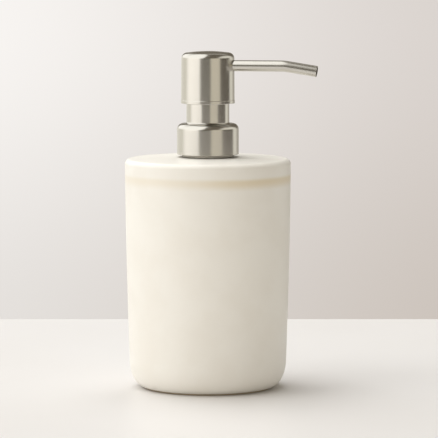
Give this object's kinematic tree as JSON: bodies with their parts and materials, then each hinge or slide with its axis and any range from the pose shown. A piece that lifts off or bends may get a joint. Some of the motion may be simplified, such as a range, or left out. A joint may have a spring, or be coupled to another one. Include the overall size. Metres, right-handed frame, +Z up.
{
  "type": "detergent dispenser bottle",
  "caption": "Cylindrical glazed ceramic jar with a rounded heel, a flat pad foot and a screw-on steel lotion pump with a long slim spout that dips at its end.",
  "frame": {"origin": "centre of the flat round face that the bottle stands on", "axes": "+Z up along the axis of the jar and the pump, +X the way the spout points at rest"},
  "size_m": [0.0971, 0.083, 0.1692],
  "materials": {
    "jar_glaze": "smooth satin off-white glaze",
    "foot_rubber": "matte brown",
    "neck_plastic": "moulded, warm grey",
    "seal_rubber": "soft, pale grey",
    "pump_plastic": "moulded, natural translucent white",
    "tube_plastic": "extruded, natural translucent white",
    "spring_steel": "drawn stainless wire",
    "pump_steel": "fine satin, brushed round",
    "spout_steel": "fine satin, brushed round",
    "valve_glass": "polished"
  },
  "bodies": {
    "bottle": {"bottle": "jar_glaze", "foot_pad": "foot_rubber", "neck_insert": "neck_plastic", "mouth_seal": "seal_rubber"},
    "pump": {"pump_cylinder": "pump_plastic", "neck_gasket": "seal_rubber", "chaplet": "pump_plastic", "ball_cage": "pump_plastic", "dip_tube": "tube_plastic", "return_spring": "spring_steel"},
    "closure": {"collar_shell": "pump_steel", "closure_cap": "neck_plastic"},
    "plunger": {"stem_plug": "pump_plastic"},
    "head": {"head_shell": "pump_steel", "head_core": "pump_plastic", "piston_stem": "pump_plastic", "spout_tube": "spout_steel", "spout_liner": "tube_plastic"},
    "piston": {"piston_seal": "tube_plastic"},
    "valve_ball": {"inlet_ball": "valve_glass"}
  },
  "joints": [
    {"name": "pump_rise", "type": "slide", "parent": "bottle", "child": "pump", "axis": [0, 0, 1], "range_m": [0, 0.00635]},
    {"name": "closure_turn", "type": "hinge", "parent": "pump", "child": "closure", "pos_m": [0, 0, 0.1175], "axis": [0, 0, 1], "range_deg": [0, 540]},
    {"name": "head_press", "type": "slide", "parent": "pump", "child": "plunger", "axis": [0, 0, -1], "range_m": [0, 0.0095], "stiffness_N_per_m": 900, "springref_m": -0.008, "deforming": ["return_spring"]},
    {"name": "head_swivel", "type": "hinge", "parent": "plunger", "child": "head", "pos_m": [0, 0, 0.14305], "axis": [0, 0, 1], "continuous": true},
    {"name": "piston_travel", "type": "slide", "parent": "pump", "child": "piston", "axis": [0, 0, -1], "range_m": [0, 0.0086]},
    {"name": "ball_lift", "type": "slide", "parent": "pump", "child": "valve_ball", "axis": [0, 0, 1], "range_m": [0, 0.0012]}
  ],
  "couplings": [
    {"joint": "pump_rise", "follows": "closure_turn", "m_per_rad": 0.0006737},
    {"joint": "piston_travel", "follows": "head_press", "ratio": 0.9}
  ]
}
